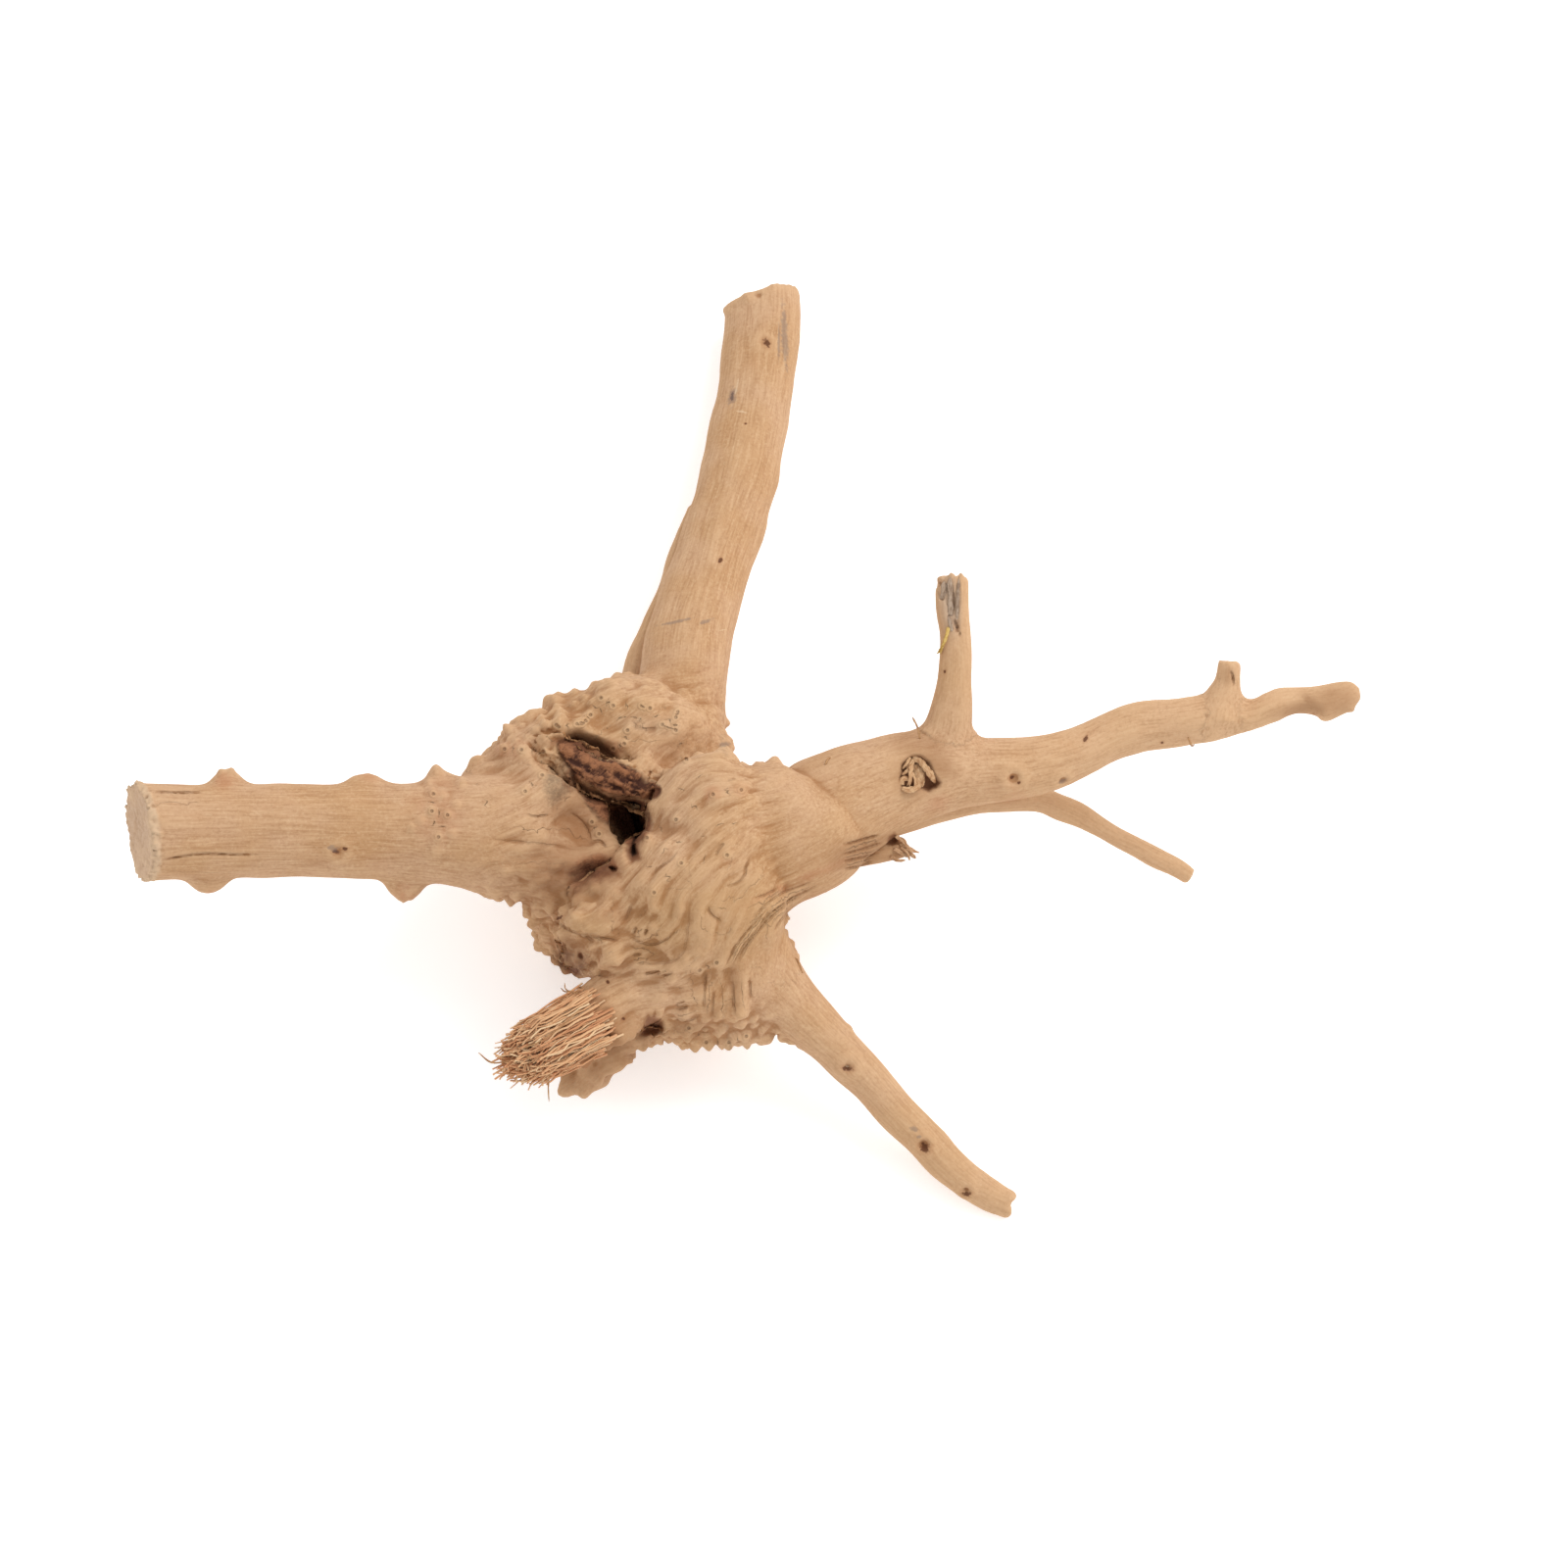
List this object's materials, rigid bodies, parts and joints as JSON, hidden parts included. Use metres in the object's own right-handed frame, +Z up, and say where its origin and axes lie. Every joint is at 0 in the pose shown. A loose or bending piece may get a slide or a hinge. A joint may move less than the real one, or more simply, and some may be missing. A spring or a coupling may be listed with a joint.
{
  "type": "aquarium driftwood",
  "caption": "Dry root burl of driftwood with spreading limbs, a rotten hollow and a frayed root, laid in an aquarium as decoration and shelter.",
  "frame": {"origin": "under the middle of the wood's box, at the height of the surface that it rests on", "axes": "+X along the two long limbs from the sawn end to the blunt tip, +Y towards the broken tip of the tall limb, +Z up"},
  "size_m": [0.19, 0.159, 0.0463],
  "materials": {
    "driftwood": "dry, bare, weathered wood with fine grain"
  },
  "bodies": {
    "root": {"driftwood": "driftwood"}
  },
  "joints": []
}
